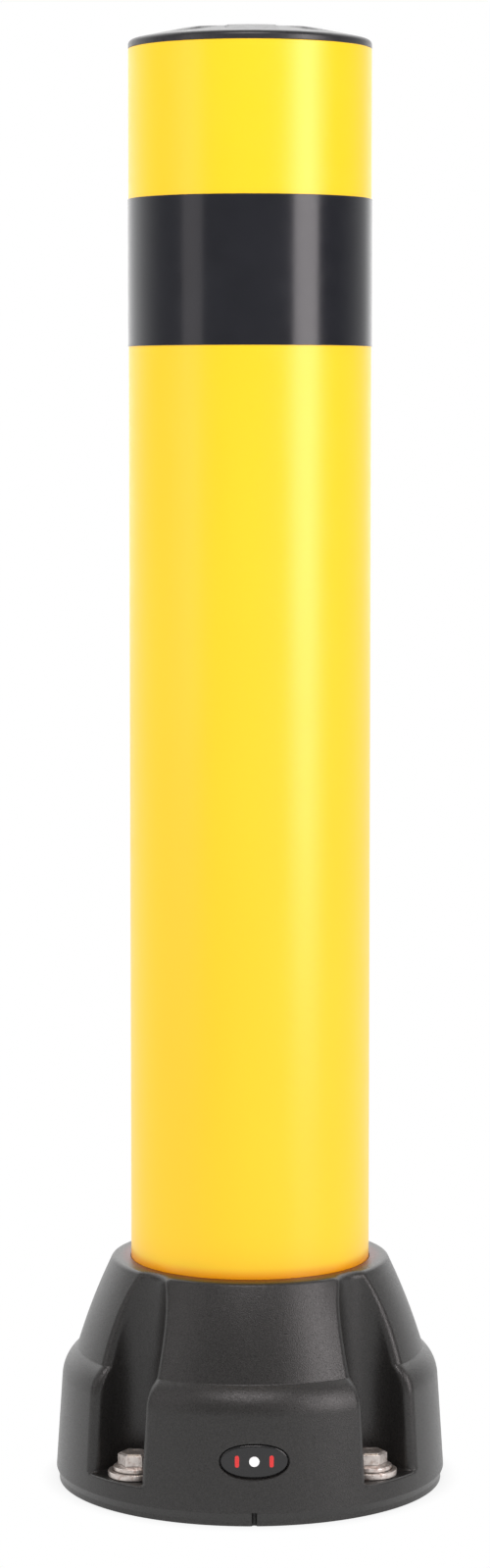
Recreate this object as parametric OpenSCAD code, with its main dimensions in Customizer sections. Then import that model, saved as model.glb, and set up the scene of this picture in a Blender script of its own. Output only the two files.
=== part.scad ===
// Anchored plastic safety bollard: a round post in a moulded foot, held down by four anchors.
// Millimetres. The floor is z = 0, the axis is Z, and the front (the badge side) faces -Y.

/* [Post] */
// Outer diameter of the post tube
post_d = 200; // [180:1:220]
// Wall thickness of the post tube
post_wall = 7; // [5:0.5:10]
// Height of the tube's top edge above the floor
post_top = 1191; // [700:1:1500]

/* [Band] */
// Height of the dark band round the post
band_h = 120; // [40:1:200]
// Distance from the tube's top edge down to the band
band_drop = 122; // [60:1:200]
// Thickness of the band's sleeve
band_t = 0.7; // [0.5:0.1:1.5]

/* [Top cap] */
// Height of the cap's upright rim above the tube
cap_rim_h = 6.5; // [5:0.5:12]
// Width of the sloping ring round the crown
cap_slope_w = 38; // [32:1:46]
// Rise of the sloping ring
cap_slope_h = 8.2; // [6:0.1:11]
// Rise of the crown above the sloping ring
cap_crown_h = 2.8; // [1.5:0.1:6]
// Wall thickness of the cap
cap_wall = 4; // [3:0.5:6]
// Length of the plug inside the tube
cap_plug_h = 32; // [20:1:60]
// Wall thickness of the plug
cap_plug_wall = 3; // [2:0.5:5]
// Play between the plug and the tube, all round
cap_play = 0.3; // [0.1:0.1:0.6]
// Rounding radius of the cap's rim
cap_round = 4; // [1:0.5:5]
// Number of raised arms on the cap
cap_arms = 6; // [5:1:7]
// Width of a raised arm
cap_arm_w = 40; // [30:1:44]
// Depth of the recesses between the arms
cap_recess = 1.6; // [0.8:0.1:2.2]
// Width of the plain ring outside the recesses
cap_border = 5; // [4:0.5:10]

/* [Foot] */
// Play between the post and its socket, all round
socket_play = 0.25; // [0.1:0.05:0.6]
// Thickness of the floor under the post
socket_floor = 8; // [5:0.5:14]
// Distance from the post's surface to the corner of the foot's flat top, before rounding
collar_w = 15.6; // [14:0.1:18]
// Height of the foot's flat top
foot_h = 189; // [176:0.5:205]
// Height of the cone's upper, steeper-tilted part
cone_high_h = 38.2; // [30:0.1:46]
// Tilt of the cone's upper part from the vertical
cone_high_tilt = 25; // [20:0.5:28]
// Tilt of the cone's lower part from the vertical
cone_low_tilt = 17.5; // [13:0.5:20]
// Height of the cone's lower corner, before rounding
cone_z = 112.2; // [108:0.1:118]
// Height of the skirt's upper corner, before rounding
skirt_z = 101.4; // [94:0.1:104]
// Draft of the skirt
skirt_draft = 3.84; // [2:0.01:5]
// Height of the foot's widest line
widest_z = 10.5; // [8:0.5:14]
// How far the widest line stands out from the toe
widest_out = 2.4; // [1:0.1:4]
// Height of the toe's upright part
toe_h = 4.5; // [3:0.5:7]
// Width of the small notch in the middle of each lobe's toe
notch_w = 4.4; // [2:0.2:8]
// Height of the small notch
notch_h = 11.5; // [6:0.5:16]
// Wall thickness of the hollow lobes
lobe_wall = 7; // [6:0.5:9]
// Thickness of the solid top over the hollow lobes
lobe_top = 12; // [8:0.5:20]
// Thickness of the ribs inside the lobes
rib_w = 5; // [3:0.5:8]
// Angle between the ribs inside a lobe
rib_angle = 14; // [10:1:16]

/* [Anchor pockets] */
// Half the width of a pocket, and the radius of its round back
pocket_r = 26.2; // [25:0.1:28]
// Wall between the post's socket and a pocket's back
pocket_wall = 11.25; // [9:0.05:12.5]
// Height of a pocket's floor
pocket_floor = 25.4; // [21:0.1:34]
// Rounding radius of the pocket's upright edges
lip_r = 7.5; // [5:0.5:9]
// Rounding radius of the pocket's top edge
arch_r = 6; // [2:0.5:7]
// Rounding radius of the edges of the pocket's floor and of the foot's top
rim_r = 4; // [2:0.5:5]
// Fillet radius between a pocket's floor and its wall
foot_fillet = 2.5; // [1:0.5:3]

/* [Anchors] */
// Distance from a pocket's back to the centre of its anchor
anchor_in = 25.8; // [24.75:0.05:28]
// Distance from an anchor's centre to the foot's widest line
anchor_out = 26.3; // [25:0.1:32]
// Thread diameter of an anchor
anchor_d = 16; // [12:1:18]
// Play between an anchor's thread and its hole, all round
anchor_play = 1; // [0.5:0.25:2]
// Size across the flats of the hexagon
hex_af = 24; // [20:0.5:27]
// Height of the head, flange included
head_h = 14.8; // [12:0.1:20]
// Diameter of the head's flange
flange_d = 35; // [32:0.5:38]
// Thickness of the flange's edge
flange_t = 3.4; // [2:0.1:4]
// Height of the sloping top of the flange
flange_slope_h = 2.4; // [1:0.1:4]
// Diameter of the flat top inside the hexagon's chamfer
hex_top_d = 21.6; // [18:0.1:23]
// Outer diameter of a washer
washer_d = 43.5; // [40:0.5:45]
// Thickness of a washer
washer_t = 5; // [3:0.5:6]
// Gap between an anchor's lower end and the floor
anchor_lift = 0.5; // [0.2:0.1:2]

/* [Badge] */
// Width of the oval recess in the front lobe
badge_w = 57; // [46:1:62]
// Height of the oval recess
badge_h = 29; // [22:1:34]
// Height of the recess's centre above the floor
badge_z = 53; // [46:1:62]
// Depth of the recess
badge_depth = 3.5; // [2.5:0.1:4]
// Gap all round the insert
badge_gap = 0.9; // [0.3:0.1:1.5]
// How far the insert's face lies below the skirt
badge_sink = 0.3; // [0.1:0.1:1]
// Width of the bevel round the insert's face
badge_bevel = 1; // [0.5:0.1:1.5]

/* [Hidden] */
$fn = 96;
// How far a cut runs past the face that it opens
eps = 1;
// Colours
foot_grey = [0.2, 0.2, 0.2];
post_yellow = [0.98, 0.8, 0.12];
band_grey = [0.16, 0.16, 0.18];
cap_grey = [0.22, 0.22, 0.23];
zinc = [0.72, 0.69, 0.67];

post_r = post_d / 2;
socket_r = post_r + socket_play;
// The lobes stand at 0, 90, 180 and 270 degrees, and the pockets lie half-way between them
lobes = 4;
lobe_step = 360 / lobes;
half_step = lobe_step / 2;
pocket_back_r = socket_r + pocket_wall;
pocket_axis = pocket_back_r + pocket_r;
anchor_circle_r = pocket_back_r + anchor_in;
widest_r = anchor_circle_r + anchor_out;
toe_r = widest_r - widest_out;

// Points of the arc that rounds the corner at p, between its neighbours q and s
function unit(v) = v / norm(v);
function corner(q, p, s, r, n) =
    let (
        u = unit(q - p),
        v = unit(s - p),
        half = acos(u * v) / 2,
        c = p + unit(u + v) * r / sin(half),
        m = p + u * r / tan(half) - c,
        e = p + v * r / tan(half) - c,
        start = atan2(m.y, m.x),
        sweep = (atan2(e.y, e.x) - start + 540) % 360 - 180
    )
    [for (i = [0:n]) c + r * [cos(start + sweep * i / n), sin(start + sweep * i / n)]];

// The foot's outline in section, as [radius, height] corners from the floor to the flat top
skirt_round = 33;
cone_foot_round = 10;
cone_round = 500;
rim_corner = [post_r + collar_w, foot_h];
cone_mid = rim_corner + [cone_high_h * tan(cone_high_tilt), -cone_high_h];
cone_foot = cone_mid + [(cone_mid.y - cone_z) * tan(cone_low_tilt), cone_z - cone_mid.y];
skirt_top = [widest_r - (skirt_z - widest_z) * tan(skirt_draft), skirt_z];
widest = [widest_r, widest_z];
centre_top = [0, foot_h];
foot_outline = concat(
    [[toe_r, 0], [toe_r, toe_h], widest],
    corner(widest, skirt_top, cone_foot, skirt_round, 5),
    corner(skirt_top, cone_foot, cone_mid, cone_foot_round, 2),
    corner(cone_foot, cone_mid, rim_corner, cone_round, 4),
    corner(cone_mid, rim_corner, centre_top, rim_r, 5)
);
foot_table = [for (p = foot_outline) [p.y, p.x]];
function foot_radius(z) = lookup(z, foot_table);

// A ring of the foot is drawn in eighths, from a lobe's middle to a pocket's middle.
// A point is [radius, angle from the pocket's middle, height].
lobe_steps = 6;
lip_steps = 6;
back_steps = 8;
cut_steps = lip_steps + back_steps;
eighth_steps = lobe_steps + cut_steps;
ring_points = 2 * lobes * eighth_steps;

// Centre of the lip's rounding, which touches the lobe's surface and the pocket's wall
function lip_centre(r, w) =
    let (a = r - lip_r, b = w + lip_r, x = sqrt(a * a - b * b))
    x >= pocket_axis ? [x, b]
    : let (y = (a * a - b * b + pocket_axis * pocket_axis) / (2 * pocket_axis)) [y, sqrt(a * a - y * y)];
function lobe_angle(r, w) = let (c = lip_centre(r, w)) atan2(c.y, c.x);
function lobe_part(r, z, angle) =
    [for (i = [0:lobe_steps]) [r, half_step - (half_step - angle) * i / lobe_steps, z]];
function polar(p, z) = [norm(p), atan2(p.y, p.x), z];

// An eighth of a ring below the pocket's floor, drawn in by inset where the pocket is
function plain_eighth(r, lobe_z, pocket_z, inset) =
    let (angle = lobe_angle(r, pocket_r - foot_fillet))
    concat(
        lobe_part(r, lobe_z, angle),
        [for (i = [1:cut_steps])
            let (t = min(1, i / lip_steps))
            [r - inset * t, angle * (1 - i / cut_steps), lobe_z + (pocket_z - lobe_z) * t]]
    );

// An eighth of a ring above the pocket's floor, where the pocket is 2 * w wide
function cut_eighth(r, lobe_z, pocket_z, w) =
    let (
        c = lip_centre(r, w),
        angle = atan2(c.y, c.x),
        turn = c.x >= pocket_axis ? 90 : atan2(c.y, c.x - pocket_axis),
        straight = max(0, c.x - pocket_axis),
        back = (straight + w * (180 - turn) * PI / 180) / back_steps
    )
    concat(
        lobe_part(r, lobe_z, angle),
        [for (i = [1:lip_steps])
            let (t = i / lip_steps, a = angle + (turn - 180 - angle) * t)
            polar(c + lip_r * [cos(a), sin(a)], lobe_z + (pocket_z - lobe_z) * t)],
        [for (i = [1:back_steps])
            let (d = back * i - straight, a = turn + d / w * 180 / PI)
            polar(d <= 0 ? [pocket_axis - d, w] : [pocket_axis + w * cos(a), w * sin(a)], pocket_z)]
    );

function place(p, azimuth) = [p[0] * sin(azimuth), -p[0] * cos(azimuth), p[2]];
function whole_ring(e) = [
    for (k = [0:lobes - 1])
        each concat(
            [for (i = [0:eighth_steps]) place(e[i], lobe_step * k + half_step - e[i][1])],
            [for (i = [eighth_steps - 1:-1:1]) place(e[i], lobe_step * k + half_step + e[i][1])]
        )
];

// The rings from the floor up: the plain ones, the floor's outer lip, the fillet at its back, the walls
// and the arch
lip_angles = [30, 60, 90];
fillet_angles = [0, 45, 90];
lip_z = pocket_floor - rim_r;
// How far the lobes' surface steps down and up beside the pocket's floor
lobe_gap = 0.5;
arch_z = foot_h - arch_r;
arch_angles = [0, 20, 40, 60, 75, 90];
wall_z = concat(
    [for (p = foot_outline) if (p.y > pocket_floor + foot_fillet + lobe_gap && p.y < arch_z) p.y],
    [for (a = arch_angles) arch_z + arch_r * sin(a)]
);
function arch_offset(z) =
    z <= arch_z ? 0 : arch_r - sqrt(max(0, arch_r * arch_r - (z - arch_z) * (z - arch_z)));
foot_rings = concat(
    [for (z = [0, toe_h, widest_z, lip_z]) plain_eighth(foot_radius(z), z, z, 0)],
    [for (a = lip_angles)
        let (z = lip_z + rim_r * sin(a), lobe_z = min(z, pocket_floor - lobe_gap))
        plain_eighth(foot_radius(lobe_z), lobe_z, z, rim_r * (1 - cos(a)))],
    [for (a = fillet_angles)
        let (z = pocket_floor + foot_fillet * (1 - cos(a)), lobe_z = z + lobe_gap * (1 - a / 90))
        cut_eighth(foot_radius(lobe_z), lobe_z, z, pocket_r - foot_fillet * (1 - sin(a)))],
    [for (z = wall_z) cut_eighth(foot_radius(z), z, z, pocket_r + arch_offset(z))]
);

module foot_skin() {
    rings = [for (e = foot_rings) whole_ring(e)];
    last = len(rings) - 1;
    n = ring_points;
    points = concat([for (r = rings) each r], [[0, 0, 0], [0, 0, foot_h]]);
    bottom = len(points) - 2;
    top = len(points) - 1;
    sides = [
        for (k = [0:last - 1])
            for (i = [0:n - 1])
                let (j = (i + 1) % n, a = n * k, b = n * (k + 1))
                each [[a + i, b + i, b + j], [a + i, b + j, a + j]]
    ];
    ends = [
        for (i = [0:n - 1])
            let (j = (i + 1) % n, b = n * last)
            each [[bottom, i, j], [top, b + j, b + i]]
    ];
    polyhedron(points, concat(sides, ends), convexity = 6);
}

// The hollow inside one lobe, open at the floor, with its ribs left standing
module lobe_core() {
    inner_r = socket_r + lobe_wall;
    top_z = foot_h - lobe_top;
    apex = (pocket_r + lobe_wall) / sin(half_step);
    outline = [for (p = foot_outline) if (p.y > toe_h && p.y < top_z) [p.x - lobe_wall, p.y]];
    difference() {
        intersection() {
            rotate_extrude()
                polygon(concat(
                    [[inner_r, -eps], [toe_r - lobe_wall, -eps], [toe_r - lobe_wall, toe_h]],
                    outline,
                    [[foot_radius(top_z) - lobe_wall, top_z], [inner_r, top_z]]
                ));
            translate([0, -apex, -2 * eps])
                linear_extrude(foot_h)
                    polygon([[0, 0], [-widest_r, -widest_r], [widest_r, -widest_r]]);
        }
        for (a = [-rib_angle, 0, rib_angle])
            rotate(a)
                translate([-rib_w / 2, -widest_r, -3 * eps])
                    cube([rib_w, widest_r, foot_h]);
    }
}

module oval(w, h) {
    n = 72;
    // A little squarer than an ellipse
    power = 2.2;
    polygon([
        for (i = [0:n - 1])
            let (c = cos(360 * i / n), s = sin(360 * i / n))
            [w / 2 * sign(c) * pow(abs(c), 2 / power), h / 2 * sign(s) * pow(abs(s), 2 / power)]
    ]);
}

module badge_prism(w, h) {
    translate([0, 0, badge_z])
        rotate([90, 0, 0])
            linear_extrude(widest_r + eps)
                oval(w, h);
}

// Everything inside a given depth below the skirt, round the badge
badge_r = foot_radius(badge_z);
module within(depth) {
    cylinder(r = badge_r - depth, h = foot_h);
}

module anchor_places(k) {
    rotate(half_step + lobe_step * k)
        translate([0, -anchor_circle_r, 0])
            children();
}

module notch() {
    translate([0, -toe_r, -eps])
        cylinder(d = notch_w, h = notch_h + eps);
    translate([-notch_w / 2, -widest_r - eps, -eps])
        cube([notch_w, widest_out + eps, notch_h + eps]);
}

module foot() {
    color(foot_grey)
        difference() {
            foot_skin();
            translate([0, 0, socket_floor])
                cylinder(r = socket_r, h = foot_h);
            for (k = [0:lobes - 1]) {
                rotate(lobe_step * k)
                    lobe_core();
                rotate(lobe_step * k)
                    notch();
                anchor_places(k)
                    translate([0, 0, -eps])
                        cylinder(r = anchor_d / 2 + anchor_play, h = foot_h);
            }
            difference() {
                badge_prism(badge_w, badge_h);
                within(badge_depth);
            }
        }
}

module post_tube() {
    color(post_yellow)
        translate([0, 0, socket_floor])
            difference() {
                cylinder(r = post_r, h = post_top - socket_floor);
                translate([0, 0, -eps])
                    cylinder(r = post_r - post_wall, h = post_top + eps);
            }
}

module band_sleeve() {
    color(band_grey)
        translate([0, 0, post_top - band_drop - band_h])
            difference() {
                cylinder(r = post_r + band_t, h = band_h);
                translate([0, 0, -eps])
                    cylinder(r = post_r, h = band_h + 2 * eps);
            }
}

// The cap's outer line in section, from the tube's edge to the middle
cap_corner = [post_r, cap_rim_h];
cap_crown = [post_r - cap_slope_w, cap_rim_h + cap_slope_h];
cap_top = cap_crown.y + cap_crown_h;
crown_steps = 6;
cap_line = concat(
    [[post_r, 0]],
    corner([post_r, 0], cap_corner, cap_crown, cap_round, 5),
    [for (i = [0:crown_steps])
        let (t = i / crown_steps)
        [cap_crown.x * (1 - t), cap_crown.y + cap_crown_h * (1 - (1 - t) * (1 - t))]]
);
cap_table = [for (i = [len(cap_line) - 1:-1:0]) [cap_line[i].x, cap_line[i].y]];
function cap_height(r) = lookup(r, cap_table);

// One recess between two arms of the cap
module cap_pocket() {
    apex = cap_arm_w / 2 / sin(180 / cap_arms);
    outer = post_r - cap_border;
    inner = apex / 2;
    reach = post_r;
    spread = reach * tan(180 / cap_arms);
    intersection() {
        rotate_extrude()
            polygon([
                [inner, cap_height(cap_crown.x) - cap_recess],
                [cap_crown.x, cap_height(cap_crown.x) - cap_recess],
                [outer, cap_height(outer)],
                [outer, cap_top + eps],
                [inner, cap_top + eps]
            ]);
        translate([0, -apex, 0])
            linear_extrude(cap_top + 2 * eps)
                polygon([[0, 0], [-spread, -reach], [spread, -reach]]);
    }
}

module top_cap() {
    plug_r = post_r - post_wall - cap_play;
    inner_r = plug_r - cap_plug_wall;
    color(cap_grey)
        translate([0, 0, post_top])
            difference() {
                union() {
                    rotate_extrude()
                        polygon(concat([[0, 0]], cap_line));
                    translate([0, 0, -cap_plug_h])
                        cylinder(r = plug_r, h = cap_plug_h + eps);
                }
                rotate_extrude()
                    polygon([
                        [0, -cap_plug_h - eps],
                        [inner_r, -cap_plug_h - eps],
                        [inner_r, cap_height(inner_r) - cap_wall],
                        [cap_crown.x, cap_crown.y - cap_recess - cap_wall],
                        [0, cap_top - cap_recess - cap_wall]
                    ]);
                for (k = [0:cap_arms - 1])
                    rotate(360 / cap_arms * (k + 0.5))
                        cap_pocket();
            }
}

module badge_insert() {
    w = badge_w - 2 * badge_gap;
    h = badge_h - 2 * badge_gap;
    color(foot_grey)
        difference() {
            union() {
                intersection() {
                    badge_prism(w, h);
                    within(badge_sink + badge_bevel);
                }
                intersection() {
                    badge_prism(w - 2 * badge_bevel, h - 2 * badge_bevel);
                    within(badge_sink);
                }
            }
            within(badge_depth);
        }
}

module washer(k) {
    color(zinc)
        anchor_places(k)
            translate([0, 0, pocket_floor])
                difference() {
                    cylinder(d = washer_d, h = washer_t);
                    translate([0, 0, -eps])
                        cylinder(r = anchor_d / 2 + anchor_play / 2, h = washer_t + 2 * eps);
                }
}

// How far each anchor's hexagon is turned, starting at the front right
anchor_turns = [-46, 33, 12, 44];
// Tilt of the hexagon's chamfer from the vertical
chamfer_tilt = 60;
// Width of the ledge round the flange's sloping top
flange_ledge = 0.5;
module anchor(k) {
    seat_z = pocket_floor + washer_t;
    top_r = hex_top_d / 2;
    color(zinc)
        anchor_places(k)
            rotate(anchor_turns[k]) {
                translate([0, 0, anchor_lift])
                    cylinder(d = anchor_d, h = seat_z);
                translate([0, 0, seat_z]) {
                    cylinder(d = flange_d, h = flange_t);
                    translate([0, 0, flange_t])
                        cylinder(d1 = flange_d - 2 * flange_ledge, d2 = hex_af, h = flange_slope_h);
                    intersection() {
                        cylinder(d = hex_af / cos(30), h = head_h, $fn = 6);
                        cylinder(r1 = top_r + head_h * tan(chamfer_tilt), r2 = top_r, h = head_h);
                    }
                }
            }
}

foot();
post_tube();
band_sleeve();
top_cap();
badge_insert();
washer(0);  // washer_front_right
washer(1);  // washer_rear_right
washer(2);  // washer_rear_left
washer(3);  // washer_front_left
anchor(0);  // anchor_front_right
anchor(1);  // anchor_rear_right
anchor(2);  // anchor_rear_left
anchor(3);  // anchor_front_left
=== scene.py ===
# Looks of the plastic safety bollard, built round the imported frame. Metres, +Z up, front at -Y.
import math

import bmesh
import bpy
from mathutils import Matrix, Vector


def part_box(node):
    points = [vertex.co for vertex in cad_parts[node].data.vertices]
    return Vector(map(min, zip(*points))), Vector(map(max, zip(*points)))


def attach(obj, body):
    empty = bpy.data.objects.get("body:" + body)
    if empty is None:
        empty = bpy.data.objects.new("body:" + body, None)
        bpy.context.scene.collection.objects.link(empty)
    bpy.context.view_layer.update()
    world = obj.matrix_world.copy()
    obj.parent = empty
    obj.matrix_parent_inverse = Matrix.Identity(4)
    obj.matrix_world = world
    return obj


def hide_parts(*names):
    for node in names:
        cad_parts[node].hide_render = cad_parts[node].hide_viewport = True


MM = 0.001
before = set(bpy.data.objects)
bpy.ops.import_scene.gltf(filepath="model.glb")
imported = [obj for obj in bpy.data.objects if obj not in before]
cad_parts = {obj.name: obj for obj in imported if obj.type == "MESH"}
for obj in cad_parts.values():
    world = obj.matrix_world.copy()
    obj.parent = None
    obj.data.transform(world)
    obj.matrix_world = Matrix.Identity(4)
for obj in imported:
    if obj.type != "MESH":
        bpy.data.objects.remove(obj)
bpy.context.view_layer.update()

# Sizes read from the frame
foot_low, foot_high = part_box("foot")
post_low, post_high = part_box("post_tube")
band_low, band_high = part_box("band_sleeve")
cap_low, cap_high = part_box("top_cap")
badge_low, badge_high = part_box("badge_insert")
POST_R = (post_high.x - post_low.x) / 2
POST_TOP = post_high.z
POST_FLOOR = post_low.z
FOOT_H = foot_high.z
WIDEST_R = (foot_high.x - foot_low.x) / 2
BAND_LOW = band_low.z
BAND_HIGH = band_high.z
BAND_R = (band_high.x - band_low.x) / 2
CAP_TOP = cap_high.z
CAP_BOTTOM = cap_low.z
BADGE_W = badge_high.x - badge_low.x
BADGE_H = badge_high.z - badge_low.z
BADGE_Z = (badge_high.z + badge_low.z) / 2
POCKET_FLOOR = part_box("washer_front_left")[0].z

# Sizes of the foot that the frame's boxes don't give. They are the part's source's, apart from the
# cone's foot, rounded by 10 mm there, and the ledge at the pocket's floor, rounded by 4 mm there.
POST_WALL = 7 * MM
SOCKET_R = POST_R + 0.25 * MM
SOCKET_MOUTH = 0.8 * MM
COLLAR_W = 15.6 * MM
CONE_HIGH_H = 38.2 * MM
CONE_HIGH_TILT = math.radians(25)
CONE_LOW_TILT = math.radians(17.5)
CONE_Z = 112.2 * MM
SKIRT_Z = 101.4 * MM
SKIRT_DRAFT = math.radians(3.84)
WIDEST_Z = 10.5 * MM
TOE_R = WIDEST_R - 2.4 * MM
TOE_H = 4.5 * MM
TOE_ROUND = 0.8 * MM
SKIRT_ROUND = 33 * MM
CONE_FOOT_ROUND = 2.5 * MM
CONE_ROUND = 500 * MM
POCKET_R = 26.2 * MM
POCKET_WALL = 11.25 * MM
LIP_R = 7.5 * MM
ARCH_R = 6 * MM
RIM_R = 4 * MM
LEDGE_R = 2 * MM
FOOT_FILLET = 2.5 * MM
NOTCH_R = 2.2 * MM
NOTCH_H = 11.5 * MM
LOBE_WALL = 7 * MM
LOBE_TOP = 12 * MM
RIB_W = 5 * MM
RIB_ANGLE = 14
HOLE_R = 9 * MM
LOBES = 4
LOBE_STEP = 360 / LOBES
HALF_STEP = LOBE_STEP / 2
POCKET_BACK_R = SOCKET_R + POCKET_WALL
POCKET_AXIS = POCKET_BACK_R + POCKET_R

# Sizes of the cap
CAP_RIM_H = 6.5 * MM
CAP_SLOPE_W = 38 * MM
CAP_SLOPE_H = 8.2 * MM
CAP_ROUND = 4 * MM
CAP_ARMS = 6
CAP_ARM_W = 40 * MM
CAP_RECESS = 1.6 * MM
CAP_BORDER = 5 * MM
CAP_ARM_SIDE = 2.2 * MM
CAP_FADE = 20 * MM
CAP_PLAY = 0.3 * MM
CAP_PLUG_WALL = 3 * MM
CAP_PLUG_BEVEL = 1 * MM
CAP_UNDER_EDGE = 3 * MM
CAP_UNDER_MIDDLE = 8 * MM

# Sizes of the badge
BADGE_GAP = 0.9 * MM
BADGE_DEPTH = 3.5 * MM
BADGE_SINK = 0.3 * MM
BADGE_BACK = 0.25 * MM
BADGE_MOUTH = 0.7 * MM
OVAL_POWER = 2.2
DOT_R = 4.2 * MM
BAR_X = 14 * MM
BAR_HALF_H = 3.2 * MM
BAR_R = 1.7 * MM

# Sizes of the washers and anchors, and each anchor's place and the turn of its hexagon, in degrees
WASHER_HOLE_R = 8.5 * MM
SHANK_R = 8 * MM
FLANGE_T = 3.4 * MM
FLANGE_SLOPE_H = 2.4 * MM
HEX_AF = 24 * MM
HEX_ROUND = 0.9 * MM
HEX_TOP_R = 10.8 * MM
HEX_CHAMFER = math.radians(30)
ANCHORS = {"front_right": (45, -46), "rear_right": (135, 33), "rear_left": (225, 12), "front_left": (315, 44)}

# Points round the post, the cap, and the small round pieces and ovals
POST_STEPS = 256
CAP_STEPS = 360
SMALL_STEPS = 96
FAN_ROWS = 9


# Points, arcs and profiles
def unit(v):
    return v / v.length


def arc_corner(before, at, after, radius, steps):
    """Points of the arc that rounds the corner between two straight lines."""
    u = unit(before - at)
    v = unit(after - at)
    half = math.acos(max(-1, min(1, u.dot(v)))) / 2
    centre = at + unit(u + v) * radius / math.sin(half)
    first = at + u * radius / math.tan(half) - centre
    last = at + v * radius / math.tan(half) - centre
    start = math.atan2(first.y, first.x)
    sweep = (math.atan2(last.y, last.x) - start + 3 * math.pi) % (2 * math.pi) - math.pi
    angles = [start + sweep * i / steps for i in range(steps + 1)]
    return [centre + radius * Vector((math.cos(a), math.sin(a))) for a in angles]


def rounded(corners, radii, steps=5, closed=False):
    """A line through corners, each rounded by its own radius; 0 leaves it sharp."""
    n = len(corners)
    line = []
    for i, (at, radius) in enumerate(zip(corners, radii)):
        ends = not closed and i in (0, n - 1)
        if radius == 0 or ends:
            line.append(Vector(at))
        else:
            before, after = Vector(corners[i - 1]), Vector(corners[(i + 1) % n])
            line += arc_corner(before, Vector(at), after, radius, steps)
    return line


def lookup(x, pairs):
    """Straight-line interpolation in a rising table of (x, y) pairs."""
    for (x0, y0), (x1, y1) in zip(pairs, pairs[1:]):
        if x <= x1:
            t = 0 if x1 == x0 else max(0, (x - x0) / (x1 - x0))
            return y0 + (y1 - y0) * t
    return pairs[-1][1]


def polar(radius, degrees, z):
    """A point at an angle from the front, turning towards +X."""
    a = math.radians(degrees)
    return Vector((radius * math.sin(a), -radius * math.cos(a), z))


# Meshes
def finish_mesh(name, points, faces, crease=32):
    """An object with smooth faces, sharp edges past the crease angle and normals weighted by area."""
    mesh = bpy.data.meshes.new(name)
    mesh.from_pydata([tuple(p) for p in points], [], faces)
    tool = bmesh.new()
    tool.from_mesh(mesh)
    bmesh.ops.remove_doubles(tool, verts=tool.verts, dist=1e-6)
    bmesh.ops.recalc_face_normals(tool, faces=tool.faces)
    tool.to_mesh(mesh)
    tool.free()
    obj = bpy.data.objects.new(name, mesh)
    bpy.context.scene.collection.objects.link(obj)
    shade(obj, crease)
    return obj


def shade(obj, crease):
    obj.data.polygons.foreach_set("use_smooth", [True] * len(obj.data.polygons))
    obj.data.set_sharp_from_angle(angle=math.radians(crease))
    weighted = obj.modifiers.new("weighted", "WEIGHTED_NORMAL")
    weighted.keep_sharp = True
    weighted.weight = 100


def tube_faces(rings, n, first=0):
    """Quads between successive rings of n points each."""
    faces = []
    for k in range(rings - 1):
        low = first + n * k
        high = low + n
        faces += [(low + i, low + (i + 1) % n, high + (i + 1) % n, high + i) for i in range(n)]
    return faces


def end_caps(first, n, rings):
    """The faces that close a stack of rings of n points at its bottom and top."""
    last = first + n * (rings - 1)
    return [tuple(first + i for i in reversed(range(n))), tuple(last + i for i in range(n))]


def revolve(profile, steps, closed):
    """Points and faces of a line of (radius, z) turned round the Z axis."""
    line = list(profile) + ([profile[0]] if closed else [])
    points = [polar(p[0], 360 * i / steps, p[1]) for p in line for i in range(steps)]
    return points, tube_faces(len(line), steps)


def apply_modifiers(obj):
    graph = bpy.context.evaluated_depsgraph_get()
    solved = bpy.data.meshes.new_from_object(obj.evaluated_get(graph))
    obj.modifiers.clear()
    obj.data = solved


def cut(obj, cutters, crease=32):
    """Takes closed cutters away from obj, and removes them."""
    obj.modifiers.clear()
    for cutter in cutters:
        step = obj.modifiers.new("cut", "BOOLEAN")
        step.operation = "DIFFERENCE"
        step.solver = "EXACT"
        step.object = cutter
    bpy.context.view_layer.update()
    apply_modifiers(obj)
    for cutter in cutters:
        bpy.data.objects.remove(cutter)
    shade(obj, crease)


def closed_loft(name, rings):
    """A closed cutter through rings of points, capped at both ends."""
    n = len(rings[0])
    points = [p for ring in rings for p in ring]
    return finish_mesh(name, points, tube_faces(len(rings), n) + end_caps(0, n, len(rings)))


# Materials
def nodes_of(name):
    material = bpy.data.materials.new(name)
    material.use_nodes = True
    tree = material.node_tree
    return material, tree, tree.nodes["Principled BSDF"]


def noise(tree, scale, detail=3.0, stretch=(1, 1, 1)):
    place = tree.nodes.new("ShaderNodeTexCoord")
    mapping = tree.nodes.new("ShaderNodeMapping")
    mapping.inputs["Scale"].default_value = stretch
    texture = tree.nodes.new("ShaderNodeTexNoise")
    texture.inputs["Scale"].default_value = scale
    texture.inputs["Detail"].default_value = detail
    tree.links.new(place.outputs["Object"], mapping.inputs["Vector"])
    tree.links.new(mapping.outputs["Vector"], texture.inputs["Vector"])
    return texture.outputs["Fac"]


def spread(tree, value, low, high):
    """A noise value, mostly between 0.3 and 0.7, spread over a range."""
    node = tree.nodes.new("ShaderNodeMapRange")
    node.inputs["From Min"].default_value = 0.3
    node.inputs["From Max"].default_value = 0.7
    node.inputs["To Min"].default_value = low
    node.inputs["To Max"].default_value = high
    tree.links.new(value, node.inputs["Value"])
    return node.outputs["Result"]


def ramp(tree, value, start, end, low, high):
    """A smooth change from low to high as the value goes from start to end."""
    node = tree.nodes.new("ShaderNodeMapRange")
    node.interpolation_type = "SMOOTHSTEP"
    node.inputs["From Min"].default_value = start
    node.inputs["From Max"].default_value = end
    node.inputs["To Min"].default_value = low
    node.inputs["To Max"].default_value = high
    tree.links.new(value, node.inputs["Value"])
    return node.outputs["Result"]


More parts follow.
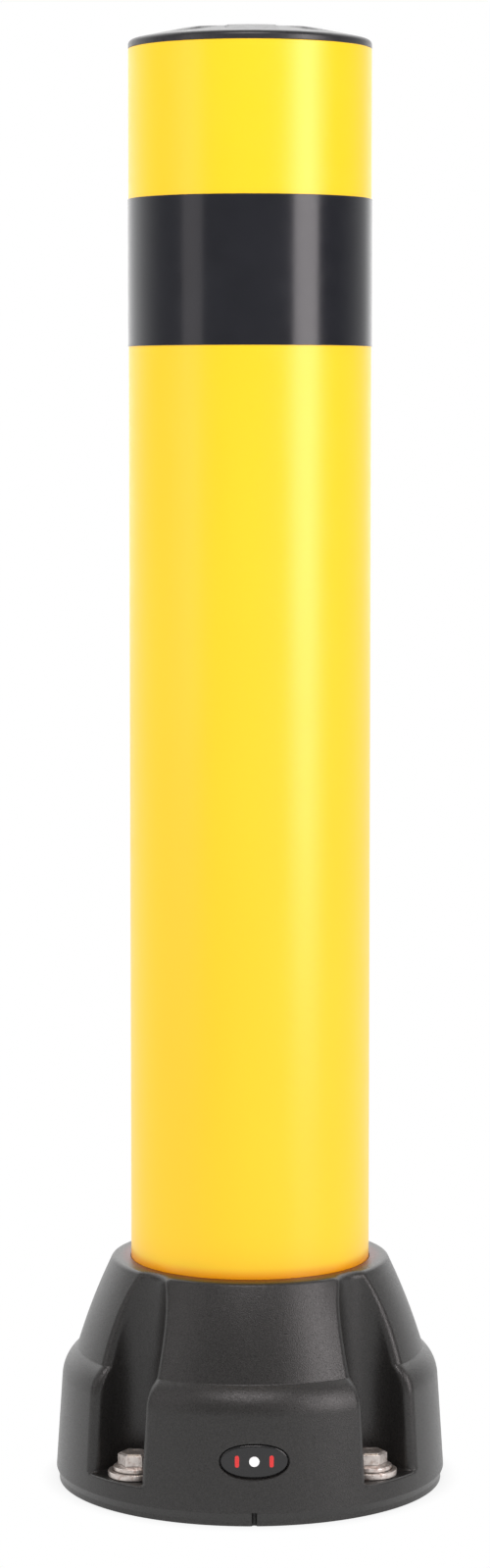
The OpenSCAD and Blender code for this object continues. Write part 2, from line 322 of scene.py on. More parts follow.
def mix_colours(tree, factor, first, second):
    node = tree.nodes.new("ShaderNodeMix")
    node.data_type = "RGBA"
    inputs = [s for s in node.inputs if s.type == "RGBA"]
    for socket, colour in zip(inputs, (first, second)):
        if isinstance(colour, tuple):
            socket.default_value = colour
        else:
            tree.links.new(colour, socket)
    tree.links.new(factor, node.inputs["Factor"])
    return next(s for s in node.outputs if s.type == "RGBA")


def bump(tree, shader, height, strength, distance):
    node = tree.nodes.new("ShaderNodeBump")
    node.inputs["Strength"].default_value = strength
    node.inputs["Distance"].default_value = distance
    tree.links.new(height, node.inputs["Height"])
    tree.links.new(node.outputs["Normal"], shader.inputs["Normal"])


def linear(r, g, b):
    """A colour given as 0-255 display values."""
    channels = [c / 255 / 12.92 if c <= 10 else ((c / 255 + 0.055) / 1.055) ** 2.4 for c in (r, g, b)]
    return (*channels, 1.0)


def axis_of(tree, axis, space="Object"):
    """One coordinate of a point; in the world's tree, Generated gives the direction looked in."""
    place = tree.nodes.new("ShaderNodeTexCoord")
    split = tree.nodes.new("ShaderNodeSeparateXYZ")
    tree.links.new(place.outputs[space], split.inputs["Vector"])
    return split.outputs[axis]


def math_node(tree, kind, *values):
    node = tree.nodes.new("ShaderNodeMath")
    node.operation = kind
    for socket, value in zip(node.inputs, values):
        if isinstance(value, (int, float)):
            socket.default_value = value
        else:
            tree.links.new(value, socket)
    return node.outputs["Value"]


def yellow_plastic():
    material, tree, shader = nodes_of("yellow_plastic")
    cloud = noise(tree, 9, 2, (1, 1, 0.3))
    tint = mix_colours(tree, spread(tree, cloud, 0, 1), linear(255, 203, 18), linear(255, 207, 24))
    # Painted shade: the yellow is deeper and more orange just above the foot, where little light gets in
    painted_low_shade = ramp(tree, axis_of(tree, "Z"), FOOT_H, FOOT_H + 10 * MM, 1, 0)
    tint = mix_colours(tree, painted_low_shade, tint, linear(255, 168, 0))
    tree.links.new(tint, shader.inputs["Base Color"])
    tree.links.new(spread(tree, noise(tree, 60, 4), 0.31, 0.36), shader.inputs["Roughness"])
    bump(tree, shader, noise(tree, 700, 3), 0.05, 0.1 * MM)
    shader.inputs["IOR"].default_value = 1.5
    return material


def band_film():
    material, tree, shader = nodes_of("band_film")
    tint = mix_colours(tree, spread(tree, noise(tree, 25, 3), 0, 1), linear(22, 23, 29), linear(27, 28, 34))
    tree.links.new(tint, shader.inputs["Base Color"])
    tree.links.new(spread(tree, noise(tree, 80, 4), 0.17, 0.21), shader.inputs["Roughness"])
    bump(tree, shader, noise(tree, 900, 2), 0.05, 0.1 * MM)
    shader.inputs["IOR"].default_value = 1.5
    return material


def foot_plastic():
    material, tree, shader = nodes_of("foot_plastic")
    tint = mix_colours(tree, spread(tree, noise(tree, 700, 3), 0, 1), linear(28, 27, 26), linear(45, 44, 43))
    # Painted reflected light: the post's colour, cast on the flat top beside it
    place = tree.nodes.new("ShaderNodeTexCoord")
    flat = tree.nodes.new("ShaderNodeVectorMath")
    flat.operation = "MULTIPLY"
    flat.inputs[1].default_value = (1, 1, 0)
    far = tree.nodes.new("ShaderNodeVectorMath")
    far.operation = "LENGTH"
    tree.links.new(place.outputs["Object"], flat.inputs[0])
    tree.links.new(flat.outputs["Vector"], far.inputs[0])
    beside = ramp(tree, far.outputs["Value"], SOCKET_R + 2 * MM, SOCKET_R + 11 * MM, 1, 0)
    upper = ramp(tree, axis_of(tree, "Z"), FOOT_H - 3 * MM, FOOT_H - 1 * MM, 0, 0.75)
    tint = mix_colours(tree, math_node(tree, "MULTIPLY", beside, upper), tint, linear(96, 34, 18))
    tree.links.new(tint, shader.inputs["Base Color"])
    tree.links.new(spread(tree, noise(tree, 900, 2), 0.26, 0.4), shader.inputs["Roughness"])
    bump(tree, shader, noise(tree, 1200, 1.5), 1.0, 0.18 * MM)
    shader.inputs["IOR"].default_value = 1.5
    return material


def cap_plastic():
    material, tree, shader = nodes_of("cap_plastic")
    tint = mix_colours(tree, spread(tree, noise(tree, 300, 4), 0, 1), linear(34, 34, 36), linear(43, 42, 44))
    tree.links.new(tint, shader.inputs["Base Color"])
    tree.links.new(spread(tree, noise(tree, 160, 4), 0.27, 0.35), shader.inputs["Roughness"])
    bump(tree, shader, noise(tree, 900, 3), 0.35, 0.25 * MM)
    return material


def zinc():
    material, tree, shader = nodes_of("zinc")
    cloud = spread(tree, noise(tree, 180, 5), 0, 1)
    tint = mix_colours(tree, cloud, linear(196, 187, 182), linear(230, 222, 216))
    specks = ramp(tree, noise(tree, 260, 6), 0.5, 0.72, 0, 0.6)
    tint = mix_colours(tree, specks, tint, linear(140, 108, 92))
    # Painted shade in the corners, from ambient occlusion
    hidden = tree.nodes.new("ShaderNodeAmbientOcclusion")
    hidden.inputs["Distance"].default_value = 3 * MM
    painted_corner_shade = ramp(tree, hidden.outputs["AO"], 0.35, 0.8, 1, 0)
    tint = mix_colours(tree, painted_corner_shade, tint, linear(52, 48, 46))
    tree.links.new(tint, shader.inputs["Base Color"])
    shader.inputs["Metallic"].default_value = 0.85
    tree.links.new(spread(tree, noise(tree, 320, 4), 0.3, 0.48), shader.inputs["Roughness"])
    bump(tree, shader, noise(tree, 650, 4), 0.35, 0.2 * MM)
    return material


# The foot's outline, and its rings with the pockets
def foot_outline():
    """The foot's outline over a lobe, from the floor to its flat top, as (radius, z)."""
    rim = Vector((POST_R + COLLAR_W, FOOT_H))
    cone_mid = rim + Vector((CONE_HIGH_H * math.tan(CONE_HIGH_TILT), -CONE_HIGH_H))
    fall = cone_mid.y - CONE_Z
    cone_foot = cone_mid + Vector((fall * math.tan(CONE_LOW_TILT), -fall))
    skirt = Vector((WIDEST_R - (SKIRT_Z - WIDEST_Z) * math.tan(SKIRT_DRAFT), SKIRT_Z))
    widest = Vector((WIDEST_R, WIDEST_Z))
    toe = Vector((TOE_R, TOE_H))
    centre = Vector((0, FOOT_H))
    line = [Vector((TOE_R, 0))]
    line += arc_corner(Vector((TOE_R, 0)), toe, widest, TOE_ROUND, 2)
    line += arc_corner(toe, widest, skirt, TOE_ROUND, 3)
    line += arc_corner(widest, skirt, cone_foot, SKIRT_ROUND, 14)
    line += arc_corner(skirt, cone_foot, cone_mid, CONE_FOOT_ROUND, 6)
    line += arc_corner(cone_foot, cone_mid, rim, CONE_ROUND, 8)
    line += arc_corner(cone_mid, rim, centre, RIM_R, 8)
    return line


OUTLINE = foot_outline()
OUTLINE_TABLE = [(p.y, p.x) for p in OUTLINE]
LOBE_STEPS = 14
LIP_STEPS = 10
BACK_STEPS = 14
CUT_STEPS = LIP_STEPS + BACK_STEPS


def foot_radius(z):
    return lookup(z, OUTLINE_TABLE)


def lip_centre(radius, half_width):
    """The centre of the arc between the outline's circle and the pocket's side, seen from above."""
    a = radius - LIP_R
    b = half_width + LIP_R
    x = math.sqrt(a * a - b * b)
    if x >= POCKET_AXIS:
        return x, b
    y = (a * a - b * b + POCKET_AXIS * POCKET_AXIS) / (2 * POCKET_AXIS)
    return y, math.sqrt(a * a - y * y)


def lobe_part(radius, z, angle):
    """Points from a lobe's middle to the lip, as (radius, degrees from the pocket's middle, z)."""
    return [(radius, HALF_STEP - (HALF_STEP - angle) * i / LOBE_STEPS, z) for i in range(LOBE_STEPS + 1)]


def plain_eighth(radius, lobe_z, pocket_z, inset):
    """An eighth of a ring below the pocket's floor."""
    x, y = lip_centre(radius, POCKET_R - FOOT_FILLET)
    angle = math.degrees(math.atan2(y, x))
    ring = lobe_part(radius, lobe_z, angle)
    for i in range(1, CUT_STEPS + 1):
        t = min(1, i / LIP_STEPS)
        z = lobe_z + (pocket_z - lobe_z) * t
        ring.append((radius - inset * t, angle * (1 - i / CUT_STEPS), z))
    return ring


def cut_eighth(radius, lobe_z, pocket_z, half_width):
    """An eighth of a ring above the pocket's floor."""
    x, y = lip_centre(radius, half_width)
    angle = math.atan2(y, x)
    turn = math.pi / 2 if x >= POCKET_AXIS else math.atan2(y, x - POCKET_AXIS)
    straight = max(0, x - POCKET_AXIS)
    back = (straight + half_width * (math.pi - turn)) / BACK_STEPS
    ring = lobe_part(radius, lobe_z, math.degrees(angle))
    for i in range(1, LIP_STEPS + 1):
        t = i / LIP_STEPS
        a = angle + (turn - math.pi - angle) * t
        px, py = x + LIP_R * math.cos(a), y + LIP_R * math.sin(a)
        z = lobe_z + (pocket_z - lobe_z) * t
        ring.append((math.hypot(px, py), math.degrees(math.atan2(py, px)), z))
    for i in range(1, BACK_STEPS + 1):
        d = back * i - straight
        a = turn + d / half_width
        px, py = POCKET_AXIS + half_width * math.cos(a), half_width * math.sin(a)
        if d <= 0:
            px, py = POCKET_AXIS - d, half_width
        ring.append((math.hypot(px, py), math.degrees(math.atan2(py, px)), pocket_z))
    return ring


def whole_ring(eighth):
    """An eighth, mirrored and repeated round the foot."""
    ring = []
    for k in range(LOBES):
        middle = LOBE_STEP * k + HALF_STEP
        ring += [polar(r, middle - a, z) for r, a, z in eighth[:-1]]
        ring += [polar(r, middle + a, z) for r, a, z in reversed(eighth[1:])]
    return ring


def arch_offset(z):
    """How much a pocket widens at a height, near its top."""
    over = max(0, z - (FOOT_H - ARCH_R))
    return ARCH_R - math.sqrt(max(0, ARCH_R * ARCH_R - over * over))


def foot_rings():
    """Rings from the floor up: the toe, the pockets' ledge and floor fillet, their walls and arch."""
    lip_z = POCKET_FLOOR - LEDGE_R
    gap = 0.5 * MM
    rings = [plain_eighth(p.x, p.y, p.y, 0) for p in OUTLINE if p.y < lip_z]
    rings.append(plain_eighth(foot_radius(lip_z), lip_z, lip_z, 0))
    steps = 7
    for i in range(1, steps + 1):
        a = math.radians(90 * i / steps)
        z = lip_z + LEDGE_R * math.sin(a)
        lobe_z = lip_z + (POCKET_FLOOR - gap - lip_z) * i / steps
        rings.append(plain_eighth(foot_radius(lobe_z), lobe_z, z, LEDGE_R * (1 - math.cos(a))))
    for i in range(steps):
        a = math.radians(90 * i / (steps - 1))
        z = POCKET_FLOOR + FOOT_FILLET * (1 - math.cos(a))
        lobe_z = z + gap * (1 - i / (steps - 1))
        half_width = POCKET_R - FOOT_FILLET * (1 - math.sin(a))
        rings.append(cut_eighth(foot_radius(lobe_z), lobe_z, z, half_width))
    arch_z = FOOT_H - ARCH_R
    heights = [p.y for p in OUTLINE if POCKET_FLOOR + FOOT_FILLET + 2 * gap < p.y < arch_z - gap]
    first = POCKET_FLOOR + FOOT_FILLET
    extra = 7
    heights = [first + (heights[0] - first) * i / extra for i in range(1, extra)] + heights
    arch_steps = 10
    heights += [arch_z + ARCH_R * math.sin(math.pi / 2 * i / arch_steps) for i in range(arch_steps + 1)]
    rings += [cut_eighth(foot_radius(z), z, z, POCKET_R + arch_offset(z)) for z in heights]
    return [whole_ring(r) for r in rings]


def foot_body():
    rings = foot_rings()
    n = len(rings[0])
    # On over the flat top, into the socket and down to its floor
    near = 0.3 * SOCKET_MOUTH
    inside = [(SOCKET_R + SOCKET_MOUTH, FOOT_H), (SOCKET_R + near, FOOT_H - near)]
    inside += [(SOCKET_R, FOOT_H - SOCKET_MOUTH), (SOCKET_R, POST_FLOOR)]
    for radius, z in inside:
        ring = []
        for p in rings[-1]:
            side = unit(Vector((p.x, p.y)))
            ring.append(Vector((side.x * radius, side.y * radius, z)))
        rings.append(ring)
    points = [p for ring in rings for p in ring]
    faces = tube_faces(len(rings), n)
    bottom, top = len(points), len(points) + 1
    points += [Vector((0, 0, 0)), Vector((0, 0, POST_FLOOR))]
    last = n * (len(rings) - 1)
    faces += [(bottom, (i + 1) % n, i) for i in range(n)]
    faces += [(top, last + i, last + (i + 1) % n) for i in range(n)]
    return finish_mesh("foot_body", points, faces)


def oval(width, height):
    """Points of an oval that is a little squarer than an ellipse, as (x, z)."""
    line = []
    for i in range(SMALL_STEPS):
        c = math.cos(2 * math.pi * i / SMALL_STEPS)
        s = math.sin(2 * math.pi * i / SMALL_STEPS)
        x = math.copysign(abs(c) ** (2 / OVAL_POWER), c) * width / 2
        z = math.copysign(abs(s) ** (2 / OVAL_POWER), s) * height / 2
        line.append((x, z))
    return line


SKIRT_R = foot_radius(BADGE_Z)


def skirt_ring(outline, depth):
    """The oval's points laid on the skirt, at a depth below it."""
    radius = SKIRT_R - depth
    return [Vector((x, -math.sqrt(radius * radius - x * x), BADGE_Z + z)) for x, z in outline]


def skirt_fan(width, height, depth):
    """Rings of an oval patch on the skirt, from its edge inwards, and its middle point."""
    sizes = [1 - i / FAN_ROWS for i in range(1, FAN_ROWS)]
    rings = [skirt_ring(oval(width * t, height * t), depth) for t in sizes]
    return rings, skirt_ring([(0, 0)], depth)[0]


def oval_block(name, sizes, crease=32):
    """A closed oval block on the skirt, through ovals of (width, height, depth) from back to front."""
    front_rings, front_middle = skirt_fan(*sizes[-1])
    back_rings, back_middle = skirt_fan(*sizes[0])
    rings = list(reversed(back_rings))
    rings += [skirt_ring(oval(width, height), depth) for width, height, depth in sizes]
    rings += front_rings
    n = SMALL_STEPS
    points = [p for ring in rings for p in ring]
    faces = tube_faces(len(rings), n)
    first, last = len(points), n * (len(rings) - 1)
    points += [back_middle, front_middle]
    faces += [(first, (i + 1) % n, i) for i in range(n)]
    faces += [(first + 1, last + i, last + (i + 1) % n) for i in range(n)]
    return finish_mesh(name, points, faces, crease)


def badge_cutter():
    """The recess, with a rounded mouth that runs out over the skirt."""
    sizes = [(BADGE_W + 2 * BADGE_GAP, BADGE_H + 2 * BADGE_GAP, BADGE_DEPTH)]
    for flare, depth in ((0, 1.0), (0.15, 0.35), (0.5, -0.1), (1.0, -0.7), (1.6, -2)):
        extra = 2 * (BADGE_GAP + flare * BADGE_MOUTH)
        sizes.append((BADGE_W + extra, BADGE_H + extra, depth * MM))
    return oval_block("badge_cutter", sizes)


def notch_cutter(k):
    """A small slot with a round inner end, in the middle of a lobe's toe."""
    steps = 12
    angles = [math.pi * i / steps for i in range(steps + 1)]
    arc = [(NOTCH_R * math.cos(a), TOE_R - NOTCH_R * math.sin(a)) for a in angles]
    reach = WIDEST_R + NOTCH_R
    outline = [(NOTCH_R, reach)] + arc + [(-NOTCH_R, reach)]
    turn = LOBE_STEP * k
    rings = []
    for z in (-1 * MM, NOTCH_H):
        rings.append([polar(r, turn, z) + polar(x, turn + 90, 0) for x, r in outline])
    return closed_loft(f"notch_{k}", rings)


def round_cutter(name, centre, radius, low, high, steps=40):
    ring = [centre + polar(radius, 360 * i / steps, 0) for i in range(steps)]
    return closed_loft(name, [[Vector((p.x, p.y, z)) for p in ring] for z in (low, high)])


def lobe_hollows():
    """The hollows under the lobes, one cutter for each space between two ribs."""
    inner = SOCKET_R + LOBE_WALL
    top = FOOT_H - LOBE_TOP
    below = -1 * MM
    profile = [(TOE_R - LOBE_WALL, below), (TOE_R - LOBE_WALL, TOE_H)]
    profile += [(p.x - LOBE_WALL, p.y) for p in OUTLINE if TOE_H < p.y < top]
    profile.append((foot_radius(top) - LOBE_WALL, top))
    clear = (POCKET_R + LOBE_WALL) / math.sin(math.radians(HALF_STEP))
    cutters = []
    steps = 8
    edges = [-RIB_ANGLE, 0, RIB_ANGLE]

    def side_angle(radius, edge, side):
        """The angle at which a rib's side, or the wall beside a pocket, meets a radius."""
        if edge is None:
            reach = math.sqrt(max(0, 2 * radius * radius - clear * clear))
            across = (reach - clear) / 2
            return side * math.degrees(math.asin(min(1, max(0.01, across / radius))))
        return edge + side * math.degrees(math.asin(RIB_W / 2 / radius))

    cells = list(zip([None] + edges, edges + [None]))
    for k in range(LOBES):
        for left, right in cells:
            rings = []
            for radius, z in profile:
                row = []
                for r in (inner, radius):
                    a0 = side_angle(r, left, -1 if left is None else 1)
                    a1 = side_angle(r, right, 1 if right is None else -1)
                    arc = [LOBE_STEP * k + a0 + (a1 - a0) * i / steps for i in range(steps + 1)]
                    row.append([polar(r, a, z) for a in arc])
                rings.append(row[0] + list(reversed(row[1])))
            cutters.append(closed_loft(f"hollow_{k}", rings))
    return cutters


def make_foot(material):
    body = foot_body()
    cutters = [badge_cutter()]
    cutters += [notch_cutter(k) for k in range(LOBES)]
    for node in sorted(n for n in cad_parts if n.startswith("washer")):
        low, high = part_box(node)
        centre = Vector(((low.x + high.x) / 2, (low.y + high.y) / 2, 0))
        cutters.append(round_cutter(f"hole_{node}", centre, HOLE_R, -1 * MM, POCKET_FLOOR + 1 * MM))
    cutters += lobe_hollows()
    cut(body, cutters)
    return dress(body, material, "foot_plastic", "foot")


def dress(obj, material, slot, *nodes):
    """Gives a piece its material and its place on the body, and hides the nodes that it stands for. The slot
    is not used.
    """
    obj.data.materials.clear()
    obj.data.materials.append(material)
    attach(obj, "root")
    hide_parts(*nodes)
    return obj


def make_post(material):
    edge = 0.6 * MM
    inner = POST_R - POST_WALL
    corners = [(inner, POST_FLOOR), (POST_R, POST_FLOOR), (POST_R, POST_TOP), (inner, POST_TOP)]
    line = rounded(corners, [edge] * 4, 3, closed=True)
    tube = finish_mesh("post_body", *revolve(line, POST_STEPS, True))
    return dress(tube, material, "post_plastic", "post_tube")


def make_band(material):
    edge = 0.25 * MM
    corners = [(POST_R, BAND_LOW), (BAND_R, BAND_LOW), (BAND_R, BAND_HIGH), (POST_R, BAND_HIGH)]
    line = rounded(corners, [0, edge, edge, 0], 3, closed=True)
    sleeve = finish_mesh("band_wrap", *revolve(line, POST_STEPS, True), crease=60)
    return dress(sleeve, material, "band_film", "band_sleeve")


# The cap is a grid of rings and spokes, sunk between its arms
def smooth_step(x, low, high):
    t = max(0, min(1, (x - low) / (high - low)))
    return t * t * (3 - 2 * t)


def cap_profile():
    corner = Vector((POST_R, POST_TOP + CAP_RIM_H))
    crown = Vector((POST_R - CAP_SLOPE_W, corner.y + CAP_SLOPE_H))
    foot_edge = Vector((POST_R, POST_TOP))
    line = arc_corner(Vector((0, POST_TOP)), foot_edge, corner, 0.6 * MM, 3)
    line += arc_corner(foot_edge, corner, crown, CAP_ROUND, 8)
    slope_steps = 26
    start = line[-1]
    line += [start + (crown - start) * i / slope_steps for i in range(1, slope_steps + 1)]
    crown_steps = 14
    rise = CAP_TOP - crown.y
    for i in range(1, crown_steps):
        t = i / crown_steps
        line.append(Vector((crown.x * (1 - t), crown.y + rise * (1 - (1 - t) ** 2))))
    return line


def cap_sink(radius, degrees):
    """How far the cap's surface lies below its arms."""
    step = 360 / CAP_ARMS
    from_middle = abs((degrees + step / 2) % step - step / 2)
    across = radius * math.sin(math.radians(from_middle))
    beside = smooth_step(across, (CAP_ARM_W - CAP_ARM_SIDE) / 2, (CAP_ARM_W + CAP_ARM_SIDE) / 2)
    crown_r = POST_R - CAP_SLOPE_W
    out = smooth_step((POST_R - CAP_BORDER - radius) / (CAP_SLOPE_W - CAP_BORDER), 0, 1)
    # The recesses run out on the crown
    inward = smooth_step(radius, crown_r - CAP_FADE, crown_r)
    return CAP_RECESS * beside * out * inward


def make_cap(material):
    steps = CAP_STEPS
    line = cap_profile()
    points = []
    for p in line:
        for i in range(steps):
            degrees = 360 * i / steps
            points.append(polar(p.x, degrees, p.y - cap_sink(p.x, degrees)))
    faces = tube_faces(len(line), steps)
    top = len(points)
    points.append(Vector((0, 0, CAP_TOP)))
    last = steps * (len(line) - 1)
    faces += [(top, last + i, last + (i + 1) % steps) for i in range(steps)]
    # The underside and the plug, down inside the tube
    plug_r = POST_R - POST_WALL - CAP_PLAY
    bore_r = plug_r - CAP_PLUG_WALL
    under = [(plug_r, POST_TOP), (plug_r, CAP_BOTTOM + CAP_PLUG_BEVEL)]
    under += [(plug_r - CAP_PLUG_BEVEL, CAP_BOTTOM), (bore_r, CAP_BOTTOM)]
    under.append((bore_r, POST_TOP + CAP_UNDER_EDGE))
    first = len(points)
    points += [polar(r, 360 * i / steps, z) for r, z in under for i in range(steps)]
    faces += tube_faces(len(under), steps, first)
    faces += [(i, first + i, first + (i + 1) % steps, (i + 1) % steps) for i in range(steps)]
    middle = len(points)
    points.append(Vector((0, 0, POST_TOP + CAP_UNDER_MIDDLE)))
    last = first + steps * (len(under) - 1)
    faces += [(middle, last + (i + 1) % steps, last + i) for i in range(steps)]
    cap = finish_mesh("cap_body", points, faces)
    return dress(cap, material, "cap_plastic", "top_cap")


# The badge: a plain oval insert with a round dot between two short bars
def badge_material():
    material, tree, shader = nodes_of("badge_plastic")
    x = math_node(tree, "ABSOLUTE", axis_of(tree, "X"))
    z = math_node(tree, "SUBTRACT", axis_of(tree, "Z"), BADGE_Z)

    def capsule(across, half_height, radius):
        """1 inside a bar with round ends that stands at a distance to each side, 0 outside."""
        dx = math_node(tree, "SUBTRACT", x, across)
        past = math_node(tree, "SUBTRACT", math_node(tree, "ABSOLUTE", z), half_height)
        dz = math_node(tree, "MAXIMUM", past, 0.0)
        squares = [math_node(tree, "POWER", d, 2.0) for d in (dx, dz)]
        far = math_node(tree, "SQRT", math_node(tree, "ADD", *squares))
        return math_node(tree, "LESS_THAN", far, radius)

    plain = mix_colours(tree, spread(tree, noise(tree, 400, 4), 0, 1), linear(24, 24, 25), linear(30, 30, 31))
    red = mix_colours(tree, capsule(BAR_X, BAR_HALF_H, BAR_R), plain, linear(214, 44, 44))
    white = mix_colours(tree, capsule(0, 0, DOT_R), red, linear(244, 244, 244))
    tree.links.new(white, shader.inputs["Base Color"])
    tree.links.new(spread(tree, noise(tree, 240, 4), 0.2, 0.26), shader.inputs["Roughness"])
    bump(tree, shader, noise(tree, 900, 3), 0.1, 0.1 * MM)
    return material


def make_badge(material):
    sizes = [(BADGE_W, BADGE_H, BADGE_DEPTH - BADGE_BACK)]
    # The bevel: how far in from the edge, and how far below the face, in mm
    for inset, below in ((0, 1.4), (0.15, 0.9), (0.5, 0.48), (1.0, 0.18), (1.5, 0.04), (1.9, 0)):
        sizes.append((BADGE_W - 2 * inset * MM, BADGE_H - 2 * inset * MM, BADGE_SINK + below * MM))
    return dress(oval_block("badge_plate", sizes, 40), material, "badge_plastic", "badge_insert")


# Washers and anchors
def make_washer(node, material):
    low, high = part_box(node)
    centre = Vector(((low.x + high.x) / 2, (low.y + high.y) / 2, 0))
    radius = (high.x - low.x) / 2
    corners = [(WASHER_HOLE_R, low.z), (radius, low.z), (radius, high.z), (WASHER_HOLE_R, high.z)]
    line = rounded(corners, [0.3 * MM, 0.6 * MM, 0.8 * MM, 0.4 * MM], 4, closed=True)
    points, faces = revolve(line, SMALL_STEPS, True)
    ring = finish_mesh(node + "_ring", [p + centre for p in points], faces, crease=50)
    return dress(ring, material, "zinc_steel", node)


def hexagon(across_flats, round_r, turn):
    """The points of a hexagon with rounded corners, as (x, y)."""
    apex = across_flats / 2 / math.cos(math.radians(30))
    corners = []
    for i in range(6):
        a = math.radians(60 * i + turn)
        corners.append((apex * math.cos(a), apex * math.sin(a)))
    return rounded(corners, [round_r] * 6, 4, closed=True)


def make_anchor(node, material):
    low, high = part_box(node)
    centre = Vector(((low.x + high.x) / 2, (low.y + high.y) / 2, 0))
    where = node.replace("anchor_", "")
    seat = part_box("washer_" + where)[1].z
    flange_r = (high.x - low.x) / 2
    hex_base = seat + FLANGE_T
    slope_top = hex_base + FLANGE_SLOPE_H
    steps = SMALL_STEPS
    line = rounded(
        [(0, low.z), (SHANK_R, low.z), (SHANK_R, seat), (flange_r, seat), (flange_r, hex_base),
         (HEX_AF / 2 - 1 * MM, slope_top), (0, slope_top)],
        [0, 0.6 * MM, 0, 0.5 * MM, 1.1 * MM, 0, 0], 5)
    line = line[1:-1]
    points = [polar(p.x, 360 * i / steps, p.y) for p in line for i in range(steps)]
    faces = tube_faces(len(line), steps) + end_caps(0, steps, len(line))
    # The hexagon, with its chamfered top and a shallow dish
    flats = hexagon(HEX_AF, HEX_ROUND, sum(ANCHORS[where]))
    n = len(flats)
    chamfer = math.tan(HEX_CHAMFER)
    rings = [[(p.x, p.y, hex_base) for p in flats]]
    rings.append([(p.x, p.y, high.z - max(0, p.length - HEX_TOP_R) * chamfer) for p in flats])
    for share, drop in ((1, 0), (0.72, 0), (0.66, 0.35 * MM), (0.3, 0.5 * MM)):
        radius = share * HEX_TOP_R
        rings.append([(p.x * radius / p.length, p.y * radius / p.length, high.z - drop) for p in flats])
    first = len(points)
    points += [Vector(p) for ring in rings for p in ring]
    faces += tube_faces(len(rings), n, first) + end_caps(first, n, len(rings))
    bolt = finish_mesh(node + "_bolt", [Vector(p) + centre for p in points], faces, crease=24)
    soften = bolt.modifiers.new("soften", "BEVEL")
    soften.width = 0.3 * MM
    soften.segments = 2
    soften.limit_method = "ANGLE"
    soften.angle_limit = math.radians(24)
    soften.harden_normals = True
    bolt.modifiers.move(1, 0)
    return dress(bolt, material, "zinc_steel", node)


# Camera, light and floor
def make_camera():
    """The photograph's view: a distance, a height and a small turn found from its edges."""
    frame_px = 1599
    focal_px = 4056.4
    axis_px = 255.11
    middle_px = 250
    distance = 3.3007
    height = 0.8995
    turn = math.radians(-1.24)
    pitch = math.radians(5.415)
    data = bpy.data.cameras.new("camera")
    data.sensor_width = 36
    data.lens = data.sensor_width * focal_px / frame_px
    data.shift_x = (middle_px - axis_px) / frame_px
    data.clip_end = 100
    camera = bpy.data.objects.new("camera", data)
    camera.location = (distance * math.sin(turn), -distance * math.cos(turn), height)
    camera.rotation_euler = (math.pi / 2 - pitch, 0, turn)
    bpy.context.scene.collection.objects.link(camera)
    bpy.context.scene.camera = camera


LAMP_AIM = Vector((0, 0, 0.7))


def make_lamp(name, azimuth, distance, height, width, tall, watts, mirrored=True, lighting=True):
    """A soft box at an azimuth from the front, facing the axis.

    One that isn't mirrored only lights the piece, and one that isn't lighting only shows in its gloss.
    """
    data = bpy.data.lights.new(name, "AREA")
    data.shape = "RECTANGLE"
    data.size = width
    data.size_y = tall
    data.energy = watts
    data.color = (1.0, 0.94, 0.95)
    lamp = bpy.data.objects.new(name, data)
    lamp.location = polar(distance, azimuth, height)
    lamp.rotation_euler = (LAMP_AIM - lamp.location).to_track_quat("-Z", "Y").to_euler()
    lamp.visible_glossy = mirrored
    lamp.visible_diffuse = lighting
    bpy.context.scene.collection.objects.link(lamp)


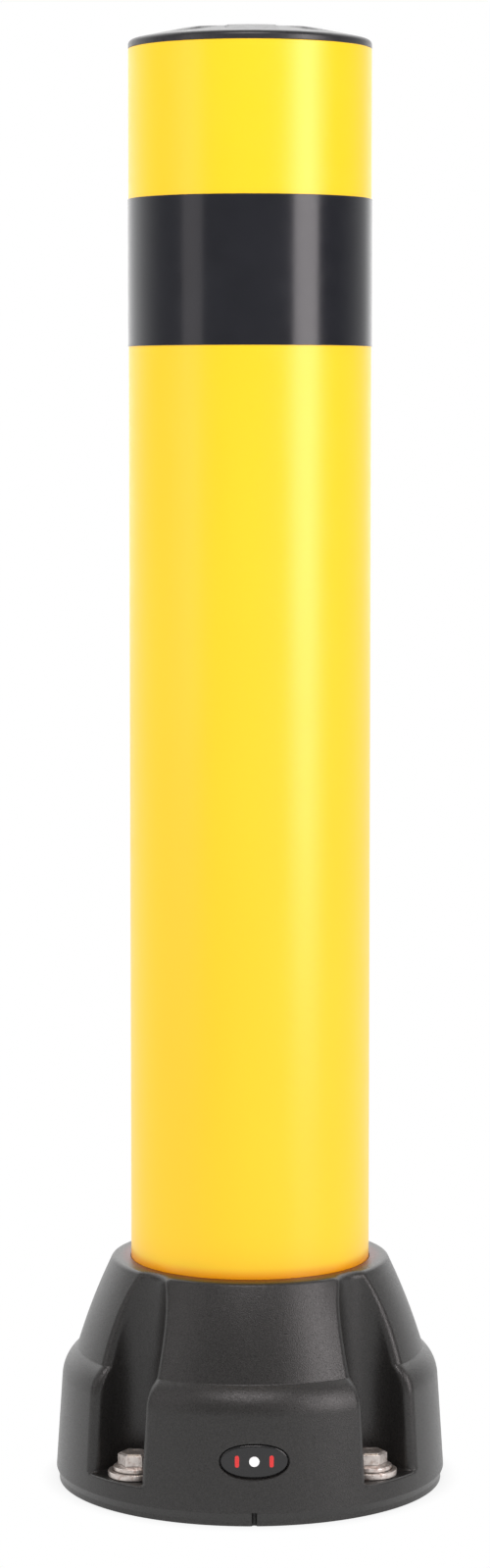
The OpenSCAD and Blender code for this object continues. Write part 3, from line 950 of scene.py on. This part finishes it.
def make_floor():
    """A pale floor that glows and that the camera sees as white, with a faint shadow painted by ambient
    occlusion where the foot meets it.
    """
    reach = 12
    points = [(-reach, -reach, 0), (reach, -reach, 0), (reach, reach, 0), (-reach, reach, 0)]
    mesh = bpy.data.meshes.new("floor")
    mesh.from_pydata(points, [], [(0, 1, 2, 3)])
    floor = bpy.data.objects.new("floor", mesh)
    bpy.context.scene.collection.objects.link(floor)
    material = bpy.data.materials.new("floor_glow")
    material.use_nodes = True
    tree = material.node_tree
    tree.nodes.clear()
    # Painted shadow: the glow dims by ambient occlusion near the foot
    near = tree.nodes.new("ShaderNodeAmbientOcclusion")
    near.inputs["Distance"].default_value = 0.03
    level = tree.nodes.new("ShaderNodeMapRange")
    level.inputs["From Min"].default_value = 0.2
    level.inputs["From Max"].default_value = 0.8
    level.inputs["To Min"].default_value = 0.82
    level.inputs["To Max"].default_value = 1.0
    tree.links.new(near.outputs["AO"], level.inputs["Value"])
    glow = tree.nodes.new("ShaderNodeEmission")
    tree.links.new(level.outputs["Result"], glow.inputs["Strength"])
    output = tree.nodes.new("ShaderNodeOutputMaterial")
    tree.links.new(glow.outputs[0], output.inputs["Surface"])
    mesh.materials.append(material)


def make_world():
    """White where the camera looks; for all other rays a studio, pale behind and overhead and dim in front."""
    world = bpy.data.worlds.new("studio")
    bpy.context.scene.world = world
    world.use_nodes = True
    tree = world.node_tree
    background = tree.nodes["Background"]
    x, y, z = (axis_of(tree, axis, "Generated") for axis in "XYZ")
    pale = ramp(tree, y, -0.1, 1.0, 0.3, 1.5)
    flagged = ramp(tree, x, 0.4, 0.8, 1.0, 0.6)
    high = ramp(tree, z, 0.35, 0.62, 0.0, 1.4)
    behind = ramp(tree, y, -0.1, 0.35, 0.0, 1.0)
    overhead = math_node(tree, "MULTIPLY", high, behind)
    level = math_node(tree, "MULTIPLY_ADD", pale, flagged, overhead)
    light_path = tree.nodes.new("ShaderNodeLightPath")
    pick = tree.nodes.new("ShaderNodeMix")
    tree.links.new(light_path.outputs["Is Camera Ray"], pick.inputs["Factor"])
    tree.links.new(level, pick.inputs["A"])
    pick.inputs["B"].default_value = 1.0
    tree.links.new(pick.outputs["Result"], background.inputs["Strength"])
    background.inputs["Color"].default_value = (1, 1, 1, 1)


make_camera()
make_world()
make_floor()
make_lamp("right_box", 52, 2.4, 1.2, 1.05, 1.9, 31.5, lighting=False)
make_lamp("right_fill", 52, 2.4, 0.8, 1.05, 2.2, 33, mirrored=False)
make_lamp("left_box", -56, 2.6, 1.5, 1.0, 2.2, 7)
make_lamp("left_fill", -70, 3.0, 0.65, 2.0, 2.4, 26, mirrored=False)
make_lamp("low_fill", 0, 3.2, 0.35, 2.6, 0.9, 10, mirrored=False)
make_lamp("top_box", -4, 1.8, 2.5, 1.3, 0.45, 21)

make_foot(foot_plastic())
make_post(yellow_plastic())
make_band(band_film())
make_cap(cap_plastic())
make_badge(badge_material())
metal = zinc()
for place in ANCHORS:
    make_washer("washer_" + place, metal)
    make_anchor("anchor_" + place, metal)

bpy.context.scene.view_settings.view_transform = "Standard"
